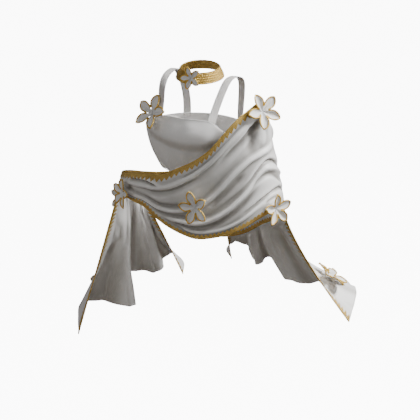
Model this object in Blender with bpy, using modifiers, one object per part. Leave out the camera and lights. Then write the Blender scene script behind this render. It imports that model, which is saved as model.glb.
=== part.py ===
"""Goddess costume top: strapped satin bandeau, gold choker, one-shoulder draped
sash with two gathered tails, gold edge trims and nine five-petal satin flowers.

Metres, +Z up. Front is -Y, the wearer's left is +X. The origin is the middle
of the shoulder line, where the two straps bear on the wearer.
"""
import math

import bpy
import numpy as np

# ---------------------------------------------------------------- sizes (m)
CLOTH = 0.0015            # bodice, sash and tail walls
TRIM = 0.0020             # gold braid walls
SEAM = 0.0005             # gap between pieces that are sewn together
LOW_GAP = 0.0010          # the same measured up the sash's slanting lower braid
TAIL_SEAM = 0.0013        # drop from the sash's lower edge to the top of a gathered tail
TAIL_GAP = 0.0007         # gap between a tail's cloth and its edge braids
BODICE_HEM_Z = -0.236
TOP_TRIM_W = 0.0080       # solid band of the sash's upper braid
LOW_TRIM_W = 0.0060       # solid band of the sash's lower braid
FOLD_START = 0.0150       # distance over which the sash's folds grow from a braid
TAIL_TRIM_W = 0.0045      # cord braid on the tails' long edges
STRAP_W = 0.0195
STRAP_T = 0.0016
CHOKER_TOP_R, CHOKER_LOW_R = 0.0480, 0.0590
CHOKER_H, CHOKER_T, CHOKER_TILT, CHOKER_Z = 0.0240, 0.0028, 4.0, 0.0066
PETAL_T = 0.0013

# bodice sections: height, half width, depth in front, depth behind
BODICE = np.array([
    (-0.060, .1220, .084, .088), (-0.085, .1290, .096, .090), (-0.110, .1350, .108, .090),
    (-0.135, .1375, .114, .090), (-0.165, .1330, .110, .088), (-0.195, .1240, .100, .086),
    (-0.225, .1080, .088, .080), (-0.240, .0990, .082, .077)])
# bodice upper edge: angle (deg, 0 wearer's left, 90 back, 270 front), height
BODICE_TOP = np.array([
    (0, -.132), (20, -.134), (50, -.131), (90, -.128), (130, -.131), (160, -.134), (180, -.132),
    (200, -.131), (214, -.126), (224, -.116), (233, -.100), (241, -.092), (252, -.089), (270, -.089),
    (288, -.089), (299, -.092), (307, -.100), (316, -.116), (326, -.126), (340, -.131)])
# soft crease below the bust line: angle, height; half height and depth of the trough
BUST_FOLD = np.array([(200, -.128), (225, -.138), (250, -.146), (270, -.149), (290, -.146), (315, -.138), (340, -.128)])
BUST_FOLD_W, BUST_FOLD_D = 0.012, 0.0045

# sash sections: height, half width left, half width right, depth front, depth back
SASH = np.array([
    (-.030, .160, .120, .1060, .080), (-.050, .166, .130, .1120, .090), (-.080, .174, .140, .1180, .100),
    (-.120, .185, .150, .1225, .108), (-.160, .192, .165, .1240, .114), (-.200, .200, .180, .1260, .120),
    (-.250, .210, .200, .1320, .130), (-.300, .219, .216, .1400, .140), (-.350, .222, .222, .1440, .146),
    (-.400, .222, .222, .1440, .148), (-.480, .222, .222, .1440, .148)])
# sash upper edge and lower edge: angle, height
SASH_TOP = np.array([
    (9, -.0515), (22, -.068), (45, -.125), (70, -.190), (90, -.235), (110, -.281), (131, -.303), (150, -.2985),
    (165, -.288), (180, -.2785), (203.5, -.266), (228.7, -.245), (243.5, -.235), (255.8, -.2315), (269, -.2095),
    (282.8, -.184), (292.6, -.160), (306.7, -.1146), (319.6, -.0832), (336.6, -.0597), (350, -.0500)])
SASH_LOW = np.array([
    (0, -.318), (30, -.365), (60, -.415), (75, -.450), (90, -.470), (110, -.465), (130, -.430), (150, -.390),
    (165, -.350), (180, -.322), (205, -.308), (230.6, -.313), (246.4, -.3207), (257, -.3426), (273.4, -.3688),
    (283.5, -.3784), (297, -.3721), (314.7, -.3514), (333.6, -.3237), (345, -.3160)])
# main folds of the sash: start, middle and end as angle and share of the height,
# then the half width as a share of the height, and how far it stands out
SASH_FOLDS = [
    # name          a0   t0    a1   t1    a2   t2    half   out
    ("upper_swag", 192, .17, 259, .262, 349, .11, .048, .0070),
    ("upper_fork", 222, .09, 243, .155, 262, .26, .032, .0045),
    ("hip_swag",   194, .62, 254, .780, 296, .66, .055, .0070),
    ("side_swag",  266, .66, 305, .410, 366, .45, .065, .0075),
    ("low_swag",   250, .89, 290, .820, 364, .55, .055, .0070),
    ("hem_swag",   246, .955, 297, .925, 362, .83, .035, .0040),
    ("side_pinch", 325, .66, 346, .660, 372, .72, .045, .0050),
    ("back_upper",   6, .16, 70, .300, 176, .24, .060, .0065),
    ("back_middle",  8, .42, 90, .560, 184, .52, .060, .0070),
    ("back_lower",   8, .70, 90, .800, 186, .78, .050, .0060)]

# tail at the wearer's right hip: lower edge from its front corner to its back corner
TAIL_RIGHT = np.array([
    # share  x      y      z
    (0.000, -.296, -.100, -.699), (0.045, -.313, -.068, -.664), (0.090, -.324, -.020, -.653),
    (0.160, -.296, .028, -.650), (0.260, -.225, -.008, -.640), (0.315, -.172, -.036, -.626),
    (0.400, -.205, .022, -.612), (0.500, -.249, .100, -.594), (0.560, -.228, .131, -.591),
    (0.640, -.172, .101, -.578), (0.700, -.169, .140, -.559), (0.790, -.176, .205, -.559),
    (0.900, -.143, .204, -.579), (1.000, -.127, .165, -.596)])
# where that tail hangs from the sash's lower edge, and how it spreads on its way down
TAIL_RIGHT_TOP = np.array([
    # share angle  spread
    (0.000, 205, 1.00), (0.045, 203, 1.40), (0.090, 200, 1.60), (0.160, 193, 1.25), (0.260, 180, 1.60),
    (0.315, 173, 2.20), (0.400, 170, 1.20), (0.500, 167, .85), (0.560, 164, .85), (0.640, 159, 1.00),
    (0.700, 156, 1.25), (0.790, 152, 1.50), (0.900, 148, 1.40), (1.000, 145, .95)])
# tail at the wearer's left hip
TAIL_LEFT = np.array([
    (0.000, .395, .030, -.601), (0.090, .386, .088, -.566), (0.165, .360, .146, -.546),
    (0.260, .285, .175, -.548), (0.345, .236, .130, -.560), (0.410, .192, .130, -.553),
    (0.480, .150, .160, -.547), (0.565, .103, .210, -.533), (0.635, .080, .190, -.545),
    (0.700, .055, .205, -.542), (0.790, .007, .258, -.528), (0.860, -.034, .272, -.528),
    (0.920, -.038, .240, -.538), (1.000, -.005, .200, -.547)])
TAIL_LEFT_TOP = np.array([
    (0.000, 9, 1.32), (0.090, 14, 2.30), (0.165, 19, 2.60), (0.260, 28, 2.10), (0.345, 40, 1.60),
    (0.430, 53, 1.65), (0.480, 60, 1.70), (0.520, 62, 1.15), (0.565, 63.5, .75), (0.635, 66, .90),
    (0.700, 69, 1.05), (0.790, 73.5, 1.10), (0.860, 79, 1.10), (1.000, 88, 1.05)])

# strap centre lines, from the front edge over the shoulder to the back edge
STRAP_LEFT = np.array([
    (.0700, -.060, -.067), (.0715, -.036, -.041), (.0730, -.012, -.019), (.0740, .008, -.0085),
    (.0750, .028, -.0065), (.0760, .050, -.010), (.0765, .069, -.019), (.0770, .079, -.034),
    (.0770, .0795, -.058), (.0765, .077, -.085), (.0755, .0758, -.110)])
STRAP_RIGHT = np.array([
    (-.0705, -.077, -.072), (-.0715, -.071, -.052), (-.0725, -.067, -.036), (-.0735, -.060, -.021),
    (-.0745, -.047, -.008), (-.0752, -.028, .000), (-.0755, -.002, .003), (-.0755, .022, -.001),
    (-.0752, .042, -.019), (-.0748, .059, -.041), (-.0742, .071, -.066), (-.0730, .077, -.092),
    (-.0720, .0775, -.115)])
STRAP_FEET = {"strap_left": (302.0, 57.0), "strap_right": (238.0, 121.5)}   # angles on the bodice edge

# flowers: the cloth each one sits on, the place there (angle and share of the height,
# angle and height on the bodice, or the two shares on a tail), the way it faces, its
# turn in its own plane, its petals' length and its stand-off
FLOWERS = [
    ("flower_neck", "choker", 274.6, .470, (-.08, -.97, .25), 43, .0288, .0045),
    ("flower_chest", "bodice", 228.7, -.0958, (-.30, -.78, .55), 14, .0470, .0085),
    ("flower_shoulder", "sash", 353.5, .087, (.77, -.52, .36), 41, .0469, .0065),
    ("flower_waist", "sash", 285.1, .582, (-.14, -.99, .00), 36, .0437, .0070),
    ("flower_hip_left", "sash", 347.5, .980, (.90, -.44, .01), 22, .0417, .0065),
    ("flower_hip_right", "sash", 224.0, .860, (-.60, -.80, .07), 12, .0391, .0080),
    ("flower_hip_rear", "tail_right", .358, .078, (-.80, .60, -.05), 36, .0360, .0118),
    ("flower_tail_left", "tail_left", .110, .820, (.51, .29, .81), 69, .0460, .0085),
    ("flower_tail_right", "tail_right", .182, .825, (-.86, .46, .22), 8, .0430, .0090)]
# one petal's outline: share of its fifth of the turn, how far out, how much its edge curls up
PETAL = [(0.00, .24, .00), (0.24, .74, .05), (0.50, 1.00, .00), (0.76, .74, .05)]
PETAL_RISE, PETAL_LEAN_COS = 0.268, 0.966

# ---------------------------------------------------------------- curves


def curve(x, y, q, period=None):
    """Smooth curve through the rows (x, y), read at q."""
    x = np.asarray(x, float)
    y = np.asarray(y, float)
    flat = y.ndim == 1
    if flat:
        y = y[:, None]
    if period:
        xe = np.concatenate([[x[-1] - period], x, [x[0] + period]])
        ye = np.vstack([y[-1], y, y[0]])
    else:
        xe = np.concatenate([[2 * x[0] - x[1]], x, [2 * x[-1] - x[-2]]])
        ye = np.vstack([2 * y[0] - y[1], y, 2 * y[-1] - y[-2]])
    step = np.diff(xe)[:, None]
    rate = np.diff(ye, axis=0) / step
    slope = (rate[:-1] * step[1:] + rate[1:] * step[:-1]) / (step[:-1] + step[1:])
    q = np.asarray(q, float)
    shape = q.shape
    q = q.ravel()
    if period:
        q = (q - x[0]) % period + x[0]
        x = np.concatenate([x, [x[0] + period]])
        y = np.vstack([y, y[:1]])
        slope = np.vstack([slope, slope[:1]])
    else:
        q = np.clip(q, x[0], x[-1])
    i = np.clip(np.searchsorted(x, q, side="right") - 1, 0, len(x) - 2)
    h = (x[i + 1] - x[i])[:, None]
    t = (q - x[i])[:, None] / h
    out = ((2 * t**3 - 3 * t**2 + 1) * y[i] + (t**3 - 2 * t**2 + t) * h * slope[i]
           + (3 * t**2 - 2 * t**3) * y[i + 1] + (t**3 - t**2) * h * slope[i + 1])
    out = out.reshape(shape + (y.shape[1],))
    return out[..., 0] if flat else out


def bump(u):
    """Round hump, 1 in the middle and 0 beyond -1 and 1."""
    u = np.clip(np.abs(u), 0, 1)
    return (1 - u * u) ** 2


def outward(a, wide, deep):
    n = np.stack([np.cos(a) / wide, np.sin(a) / deep, 0 * a], -1)
    return n / np.linalg.norm(n, axis=-1, keepdims=True)


# ---------------------------------------------------------------- surfaces


def bodice_point(deg, z):
    a = np.radians(deg)
    s = curve(-BODICE[:, 0], BODICE[:, 1:], -z)
    deep = np.where(np.sin(a) < 0, s[..., 1], s[..., 2])
    p = np.stack([s[..., 0] * np.cos(a), deep * np.sin(a), z], -1)
    d = np.asarray(deg, float) % 360
    fold = curve(BUST_FOLD[:, 0], BUST_FOLD[:, 1], np.clip(d, 200, 340))
    side = np.clip(np.minimum(d - 195, 345 - d) / 25, 0, 1)
    push = BUST_FOLD_D * bump((z - fold) / BUST_FOLD_W) * side
    return p - outward(a, s[..., 0], deep) * push[..., None]


def bodice_top(deg):
    return curve(BODICE_TOP[:, 0], BODICE_TOP[:, 1], deg, period=360)


def sash_edges(deg):
    return (curve(SASH_TOP[:, 0], SASH_TOP[:, 1], deg, period=360),
            curve(SASH_LOW[:, 0], SASH_LOW[:, 1], deg, period=360))


def sash_fold(deg, t):
    """How far the folds stand out at an angle and a share of the height."""
    out = np.zeros(np.broadcast(deg, t).shape)
    for _, a0, t0, a1, t1, a2, t2, half, high in SASH_FOLDS:
        for turn in (0, 360, -360):
            d = deg + turn
            line = curve([a0, a1, a2], [t0, t1, t2], np.clip(d, a0, a2))
            ends = np.clip(np.minimum(d - a0, a2 - d) / 14.0, 0, 1)
            ends = ends * ends * (3 - 2 * ends)
            out += high * ends * bump((t - line) / (half * 1.8))
    top, low = sash_edges(deg)
    room = np.minimum(t * (top - low) - TOP_TRIM_W, (1 - t) * (top - low) - LOW_TRIM_W)
    flat = np.clip(room / FOLD_START, 0, 1)          # the folds die out at the braids
    return out * flat * flat * (3 - 2 * flat)


def sash_point(deg, t, out=0.0):
    """Point of the sash at an angle and a share of its height, moved out."""
    deg, t = np.broadcast_arrays(np.asarray(deg, float), np.asarray(t, float))
    a = np.radians(deg)
    top, low = sash_edges(deg)
    z = top + (low - top) * t
    s = curve(-SASH[:, 0], SASH[:, 1:], -z)
    wide = np.where(np.cos(a) > 0, s[..., 0], s[..., 1])
    deep = np.where(np.sin(a) < 0, s[..., 2], s[..., 3])
    p = np.stack([wide * np.cos(a), deep * np.sin(a), z], -1)
    return p + outward(a, wide, deep) * (sash_fold(deg, t) + out)[..., None]


def tail_point(hem, top, s, t):
    """Point of a tail: s runs along its lower edge, t down from the sash."""
    s, t = np.broadcast_arrays(np.asarray(s, float), np.asarray(t, float))
    low = curve(hem[:, 0], hem[:, 1:], s)
    lead = curve(top[:, 0], top[:, 1:], s)
    high = sash_point(lead[..., 0], 1.0)
    high[..., 2] -= TAIL_SEAM
    spread = (t ** lead[..., 1])[..., None]
    p = high + (low - high) * spread
    p[..., 2] = high[..., 2] + (low[..., 2] - high[..., 2]) * t
    return p


def choker_point(deg, t):
    a = np.radians(deg)
    r = CHOKER_TOP_R + (CHOKER_LOW_R - CHOKER_TOP_R) * t
    x, y = r * np.cos(a), r * np.sin(a)
    z = CHOKER_Z + CHOKER_H * (0.5 - t) + y * math.tan(math.radians(CHOKER_TILT))
    return np.stack([x, y, z], -1)


# ---------------------------------------------------------------- making objects


def material(name, colour, rough, metal=0.0):
    m = bpy.data.materials.new(name)
    m.use_nodes = True
    b = m.node_tree.nodes["Principled BSDF"]
    b.inputs["Base Color"].default_value = (*colour, 1)
    b.inputs["Roughness"].default_value = rough
    b.inputs["Metallic"].default_value = metal
    m.diffuse_color = (*colour, 1)
    return m


SATIN = ("white_satin", (.80, .79, .77), .38, 0.0)
GOLD = ("gold_braid", (.66, .46, .15), .42, 0.55)
RIB = ("ribbed_tape", (.74, .73, .71), .6, 0.0)


def wall(name, grid, thick, look, ring=False):
    """Open sheet through a grid of points, thickened evenly about itself."""
    rows, cols = grid.shape[:2]
    faces = []
    for i in range(rows - 1):
        for j in range(cols if ring else cols - 1):
            k = (j + 1) % cols
            faces.append((i * cols + j, (i + 1) * cols + j, (i + 1) * cols + k, i * cols + k))
    mesh = bpy.data.meshes.new(name)
    mesh.from_pydata([tuple(p) for p in grid.reshape(-1, 3)], [], faces)
    mesh.shade_smooth()
    mesh.materials.append(material(name + "_" + look[0], *look[1:]))
    ob = bpy.data.objects.new(name, mesh)
    PARTS.objects.link(ob)
    m = ob.modifiers.new("wall", "SOLIDIFY")
    m.thickness = thick
    m.offset = 0
    return ob


def span(a, b, n):
    return np.linspace(a, b, n)[None, :]


def build_bodice():
    gap = math.degrees(SEAM / 2 / 0.13)
    for name, a, b, cols in (("bodice_back", gap, 180 - gap, 20), ("bodice_front", 180 + gap, 360 - gap, 32)):
        deg = span(a, b, cols)
        t = np.linspace(0, 1, 8)[:, None]
        top = bodice_top(deg)
        wall(name, bodice_point(deg + 0 * t, top + (BODICE_HEM_Z - top) * t), CLOTH, SATIN)


def build_straps():
    for name, line in (("strap_left", STRAP_LEFT), ("strap_right", STRAP_RIGHT)):
        front, back = STRAP_FEET[name]
        across = np.linspace(-0.5, 0.5, 3)
        ends = []
        for deg, turn in ((front, 1), (back, -1)):
            half = math.degrees(STRAP_W / 0.123)
            at = deg + turn * across * half
            foot = bodice_point(at, bodice_top(at))
            foot[:, 2] += SEAM + 0.0002
            ends.append(foot)
        rows = [ends[0]]
        full = np.vstack([ends[0][1], line, ends[1][1]])
        way = np.gradient(full, axis=0)
        for i, p in enumerate(line, 1):
            f = i / (len(line) + 1)
            lean = math.radians(25 * (1 - f) - 23 * f) * (1 if name == "strap_left" else -1)
            side = np.array([math.cos(lean), math.sin(lean), 0.0])
            side -= way[i] * side.dot(way[i]) / way[i].dot(way[i])
            side /= np.linalg.norm(side)
            rows.append(p + across[:, None] * STRAP_W * side)
        rows.append(ends[1])
        wall(name, np.array(rows), STRAP_T, RIB)


def build_choker():
    deg = np.arange(0, 360, 10.0)[None, :]
    t = np.linspace(0, 1, 3)[:, None]
    wall("choker_band", choker_point(deg + 0 * t, t + 0 * deg), CHOKER_T, GOLD, ring=True)


SASH_GAP = math.degrees(SEAM / 2 / 0.20)


def build_sash():
    for side, a, b, cols in (("front", 180 + SASH_GAP, 360 - SASH_GAP, 40), ("back", SASH_GAP, 180 - SASH_GAP, 29)):
        deg = span(a, b, cols)
        top, low = sash_edges(deg)
        high = top - low
        t0 = (TOP_TRIM_W + SEAM) / high
        t1 = 1 - (LOW_TRIM_W + LOW_GAP) / high
        u = np.linspace(0, 1, 15 if side == "front" else 12)[:, None]
        wall("sash_" + side, sash_point(deg, t0 + (t1 - t0) * u), CLOTH, SATIN)
        u = np.linspace(0, 1, 2)[:, None]
        wall("sash_top_trim_" + side, sash_point(deg, u * TOP_TRIM_W / high), TRIM, GOLD)
        deg = span(a, b, 2 * cols - 1)
        top, low = sash_edges(deg)
        high = top - low
        wall("sash_low_trim_" + side, sash_point(deg, 1 - (1 - u) * LOW_TRIM_W / high), TRIM, GOLD)


def inset(hem, top, t, width, edge):
    """Share of s, row by row, that lies a given width in from an edge of a tail."""
    line = tail_point(hem, top, np.full(900, float(edge)), np.linspace(0, 1, 900))
    fine = np.linspace(0, 0.3, 240)
    at = []
    for row in t:
        p = tail_point(hem, top, abs(edge - fine), np.full(fine.shape, row))
        far = np.linalg.norm(p[:, None] - line[None], axis=-1).min(axis=1)
        at.append(abs(edge - np.interp(width, np.maximum.accumulate(far), fine)))
    return np.array(at)[:, None]


def build_tail(name, hem, top, cols):
    """Cloth between two narrow edge braids, each a strip of the same surface."""
    t = np.linspace(0, 1, 10)
    side, u = t[:, None], np.linspace(0, 1, cols)[None, :]
    s0 = inset(hem, top, t, TAIL_TRIM_W + TAIL_GAP, 0)
    s1 = inset(hem, top, t, TAIL_TRIM_W + TAIL_GAP, 1)
    wall(name, tail_point(hem, top, s0 + (s1 - s0) * u, side), CLOTH, SATIN)
    u = np.linspace(0, 1, 2)[None, :]
    s0 = inset(hem, top, t, TAIL_TRIM_W, 0)
    wall(name + "_trim_front", tail_point(hem, top, s0 * u, side), TRIM, GOLD)
    s1 = inset(hem, top, t, TAIL_TRIM_W, 1)
    wall(name + "_trim_back", tail_point(hem, top, s1 + (1 - s1) * u, side), TRIM, GOLD)


def build_flower(name, place, facing, spin, reach, lift):
    """Five pointed petals in one cupped sheet, facing a direction."""
    n = np.array(facing, float)
    n /= np.linalg.norm(n)
    up = np.array([0, 0, 1.0]) - n * n[2]
    up /= np.linalg.norm(up)
    side = np.cross(up, n)
    rings = (0.0, 0.5, 1.0)
    verts = [np.zeros(3)]
    for ring in rings[1:]:
        for petal in range(5):
            for share, far, edge in PETAL:
                ang = math.radians(spin + 72 * (petal + share - 0.5))
                r = reach * PETAL_LEAN_COS * (0.10 + (far - 0.10) * ring)
                high = PETAL_RISE * r + edge * reach * ring
                verts.append(np.array([r * math.cos(ang), r * math.sin(ang), high]))
    m = 5 * len(PETAL)
    faces = [(0, 1 + j, 1 + (j + 1) % m) for j in range(m)]
    for k in range(len(rings) - 2):
        for j in range(m):
            a, b = 1 + k * m + j, 1 + k * m + (j + 1) % m
            faces.append((a, a + m, b + m, b))
    c = np.array(place, float) + n * lift
    pts = [tuple(c + side * v[0] + up * v[1] + n * v[2]) for v in verts]
    mesh = bpy.data.meshes.new(name)
    mesh.from_pydata(pts, [], faces)
    mesh.shade_smooth()
    mesh.materials.append(material(name + "_satin", *SATIN[1:]))
    ob = bpy.data.objects.new(name, mesh)
    PARTS.objects.link(ob)
    s = ob.modifiers.new("wall", "SOLIDIFY")
    s.thickness = PETAL_T
    s.offset = 0
    return ob


def build_flowers():
    right, left = (TAIL_RIGHT, TAIL_RIGHT_TOP), (TAIL_LEFT, TAIL_LEFT_TOP)
    for name, cloth, a, b, facing, spin, reach, lift in FLOWERS:
        a, b = np.array(float(a)), np.array(float(b))
        if cloth == "sash":
            place = sash_point(a, b)
        elif cloth == "bodice":
            place = bodice_point(a, b)
        elif cloth == "choker":
            place = choker_point(a, b)
        else:
            hem, top = left if cloth == "tail_left" else right
            place = tail_point(hem, top, a, b)
        build_flower(name, place, facing, spin, reach, lift)


for old in list(bpy.data.objects):
    bpy.data.objects.remove(old, do_unlink=True)
PARTS = bpy.data.collections.new("goddess_costume_top")
bpy.context.scene.collection.children.link(PARTS)

build_bodice()
build_straps()
build_choker()
build_sash()
build_tail("tail_right", TAIL_RIGHT, TAIL_RIGHT_TOP, 34)
build_tail("tail_left", TAIL_LEFT, TAIL_LEFT_TOP, 33)
build_flowers()
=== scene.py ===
"""Looks of the goddess costume top: satin bandeau and straps, braided gold choker,
one-shoulder draped sash, two gathered tails, gold braids and satin flowers.

Metres, +Z up. Front is -Y, the wearer's left is +X.
"""
import math

import bpy
import numpy as np
from mathutils import Matrix, Vector


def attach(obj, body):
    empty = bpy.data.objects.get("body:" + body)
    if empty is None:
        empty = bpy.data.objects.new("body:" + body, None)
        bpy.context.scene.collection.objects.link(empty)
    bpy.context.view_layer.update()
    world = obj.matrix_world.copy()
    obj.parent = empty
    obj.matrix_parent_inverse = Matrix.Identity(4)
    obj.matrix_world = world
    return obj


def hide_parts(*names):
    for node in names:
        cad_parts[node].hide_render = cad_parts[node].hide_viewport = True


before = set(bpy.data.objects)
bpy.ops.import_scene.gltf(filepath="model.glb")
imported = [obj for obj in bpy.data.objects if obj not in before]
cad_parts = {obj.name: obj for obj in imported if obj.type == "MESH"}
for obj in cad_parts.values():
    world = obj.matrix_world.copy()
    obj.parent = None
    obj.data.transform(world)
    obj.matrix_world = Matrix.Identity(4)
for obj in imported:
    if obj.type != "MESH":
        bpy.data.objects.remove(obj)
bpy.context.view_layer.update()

# ---------------------------------------------------------------- camera and floor
TARGET = Vector((0.02724, 0.0, -0.35019))
BACK = Vector((0.4008, -0.8595, 0.3173)).normalized()
DISTANCE = 8.0
FLOOR_Z = -1.45

cam_data = bpy.data.cameras.new("camera")
cam_data.sensor_width = 36
cam_data.lens = 36 * DISTANCE / 1.05
cam_data.clip_end = 60
cam = bpy.data.objects.new("camera", cam_data)
bpy.context.scene.collection.objects.link(cam)
cam.location = TARGET + BACK * DISTANCE
cam.rotation_mode = "QUATERNION"
cam.rotation_quaternion = (-BACK).to_track_quat("-Z", "Y")
bpy.context.scene.camera = cam


# ---------------------------------------------------------------- sizes (m)
CLOTH = 0.0015            # bodice, sash and tail walls
TRIM = 0.0020             # gold braid walls
SEAM = 0.0005             # gap between pieces that are sewn together
LOW_GAP = 0.0010          # the same measured up the sash's slanting lower braid
TAIL_SEAM = 0.0013        # drop from the sash's lower edge to the top of a gathered tail
TAIL_GAP = 0.0007         # gap between a tail's cloth and its edge braids
BODICE_HEM_Z = -0.236
TOP_TRIM_W = 0.0080       # solid band of the sash's upper braid
LOW_TRIM_W = 0.0060       # solid band of the sash's lower braid
FOLD_START = 0.0150       # distance over which the sash's folds grow from a braid
TAIL_TRIM_W = 0.0045      # cord braid on the tails' long edges
STRAP_W = 0.0195
STRAP_T = 0.0016
CHOKER_TOP_R, CHOKER_LOW_R = 0.0480, 0.0590
CHOKER_H, CHOKER_T, CHOKER_TILT, CHOKER_Z = 0.0240, 0.0028, 4.0, 0.0066
PETAL_T = 0.0013

# bodice sections: height, half width, depth in front, depth behind
BODICE = np.array([
    (-0.060, .1220, .084, .088), (-0.085, .1290, .096, .090), (-0.110, .1350, .108, .090),
    (-0.135, .1375, .114, .090), (-0.165, .1330, .110, .088), (-0.195, .1240, .100, .086),
    (-0.225, .1080, .088, .080), (-0.240, .0990, .082, .077)])
# bodice upper edge: angle (deg, 0 wearer's left, 90 back, 270 front), height
BODICE_TOP = np.array([
    (0, -.132), (20, -.134), (50, -.131), (90, -.128), (130, -.131), (160, -.134), (180, -.132),
    (200, -.131), (214, -.126), (224, -.116), (233, -.100), (241, -.092), (252, -.089), (270, -.089),
    (288, -.089), (299, -.092), (307, -.100), (316, -.116), (326, -.126), (340, -.131)])
# soft crease below the bust line: angle, height; half height and depth of the trough
BUST_FOLD = np.array([(200, -.128), (225, -.138), (250, -.146), (270, -.149), (290, -.146), (315, -.138), (340, -.128)])
BUST_FOLD_W, BUST_FOLD_D = 0.012, 0.0045

# sash sections: height, half width left, half width right, depth front, depth back
SASH = np.array([
    (-.030, .160, .120, .1060, .080), (-.050, .166, .130, .1120, .090), (-.080, .174, .140, .1180, .100),
    (-.120, .185, .150, .1225, .108), (-.160, .192, .165, .1240, .114), (-.200, .200, .180, .1260, .120),
    (-.250, .210, .200, .1320, .130), (-.300, .219, .216, .1400, .140), (-.350, .222, .222, .1440, .146),
    (-.400, .222, .222, .1440, .148), (-.480, .222, .222, .1440, .148)])
# sash upper edge and lower edge: angle, height
SASH_TOP = np.array([
    (9, -.0515), (22, -.068), (45, -.125), (70, -.190), (90, -.235), (110, -.281), (131, -.303), (150, -.2985),
    (165, -.288), (180, -.2785), (203.5, -.266), (228.7, -.245), (243.5, -.235), (255.8, -.2315), (269, -.2095),
    (282.8, -.184), (292.6, -.160), (306.7, -.1146), (319.6, -.0832), (336.6, -.0597), (350, -.0500)])
SASH_LOW = np.array([
    (0, -.318), (30, -.365), (60, -.415), (75, -.450), (90, -.470), (110, -.465), (130, -.430), (150, -.390),
    (165, -.350), (180, -.322), (205, -.308), (230.6, -.313), (246.4, -.3207), (257, -.3426), (273.4, -.3688),
    (283.5, -.3784), (297, -.3721), (314.7, -.3514), (333.6, -.3237), (345, -.3160)])
# main folds of the sash: start, middle and end as angle and share of the height,
# then the half width as a share of the height, and how far it stands out
SASH_FOLDS = [
    # name          a0   t0    a1   t1    a2   t2    half   out
    ("upper_swag", 192, .17, 259, .262, 349, .11, .048, .0070),
    ("upper_fork", 222, .09, 243, .155, 262, .26, .032, .0045),
    ("hip_swag",   194, .62, 254, .780, 296, .66, .055, .0070),
    ("side_swag",  266, .66, 305, .410, 366, .45, .065, .0075),
    ("low_swag",   250, .89, 290, .820, 364, .55, .055, .0070),
    ("hem_swag",   246, .955, 297, .925, 362, .83, .035, .0040),
    ("side_pinch", 325, .66, 346, .660, 372, .72, .045, .0050),
    ("back_upper",   6, .16, 70, .300, 176, .24, .060, .0065),
    ("back_middle",  8, .42, 90, .560, 184, .52, .060, .0070),
    ("back_lower",   8, .70, 90, .800, 186, .78, .050, .0060)]

# tail at the wearer's right hip: lower edge from its front corner to its back corner
TAIL_RIGHT = np.array([
    # share  x      y      z
    (0.000, -.296, -.100, -.699), (0.045, -.313, -.068, -.664), (0.090, -.324, -.020, -.653),
    (0.160, -.296, .028, -.650), (0.260, -.225, -.008, -.640), (0.315, -.172, -.036, -.626),
    (0.400, -.205, .022, -.612), (0.500, -.249, .100, -.594), (0.560, -.228, .131, -.591),
    (0.640, -.172, .101, -.578), (0.700, -.169, .140, -.559), (0.790, -.176, .205, -.559),
    (0.900, -.143, .204, -.579), (1.000, -.127, .165, -.596)])
# where that tail hangs from the sash's lower edge, and how it spreads on its way down
TAIL_RIGHT_TOP = np.array([
    # share angle  spread
    (0.000, 205, 1.00), (0.045, 203, 1.40), (0.090, 200, 1.60), (0.160, 193, 1.25), (0.260, 180, 1.60),
    (0.315, 173, 2.20), (0.400, 170, 1.20), (0.500, 167, .85), (0.560, 164, .85), (0.640, 159, 1.00),
    (0.700, 156, 1.25), (0.790, 152, 1.50), (0.900, 148, 1.40), (1.000, 145, .95)])
# tail at the wearer's left hip
TAIL_LEFT = np.array([
    (0.000, .395, .030, -.601), (0.090, .386, .088, -.566), (0.165, .360, .146, -.546),
    (0.260, .285, .175, -.548), (0.345, .236, .130, -.560), (0.410, .192, .130, -.553),
    (0.480, .150, .160, -.547), (0.565, .103, .210, -.533), (0.635, .080, .190, -.545),
    (0.700, .055, .205, -.542), (0.790, .007, .258, -.528), (0.860, -.034, .272, -.528),
    (0.920, -.038, .240, -.538), (1.000, -.005, .200, -.547)])
TAIL_LEFT_TOP = np.array([
    (0.000, 9, 1.32), (0.090, 14, 2.30), (0.165, 19, 2.60), (0.260, 28, 2.10), (0.345, 40, 1.60),
    (0.430, 53, 1.65), (0.480, 60, 1.70), (0.520, 62, 1.15), (0.565, 63.5, .75), (0.635, 66, .90),
    (0.700, 69, 1.05), (0.790, 73.5, 1.10), (0.860, 79, 1.10), (1.000, 88, 1.05)])

# strap centre lines, from the front edge over the shoulder to the back edge
STRAP_LEFT = np.array([
    (.0700, -.060, -.067), (.0715, -.036, -.041), (.0730, -.012, -.019), (.0740, .008, -.0085),
    (.0750, .028, -.0065), (.0760, .050, -.010), (.0765, .069, -.019), (.0770, .079, -.034),
    (.0770, .0795, -.058), (.0765, .077, -.085), (.0755, .0758, -.110)])
STRAP_RIGHT = np.array([
    (-.0705, -.077, -.072), (-.0715, -.071, -.052), (-.0725, -.067, -.036), (-.0735, -.060, -.021),
    (-.0745, -.047, -.008), (-.0752, -.028, .000), (-.0755, -.002, .003), (-.0755, .022, -.001),
    (-.0752, .042, -.019), (-.0748, .059, -.041), (-.0742, .071, -.066), (-.0730, .077, -.092),
    (-.0720, .0775, -.115)])
STRAP_FEET = {"strap_left": (302.0, 57.0), "strap_right": (238.0, 121.5)}   # angles on the bodice edge

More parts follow.
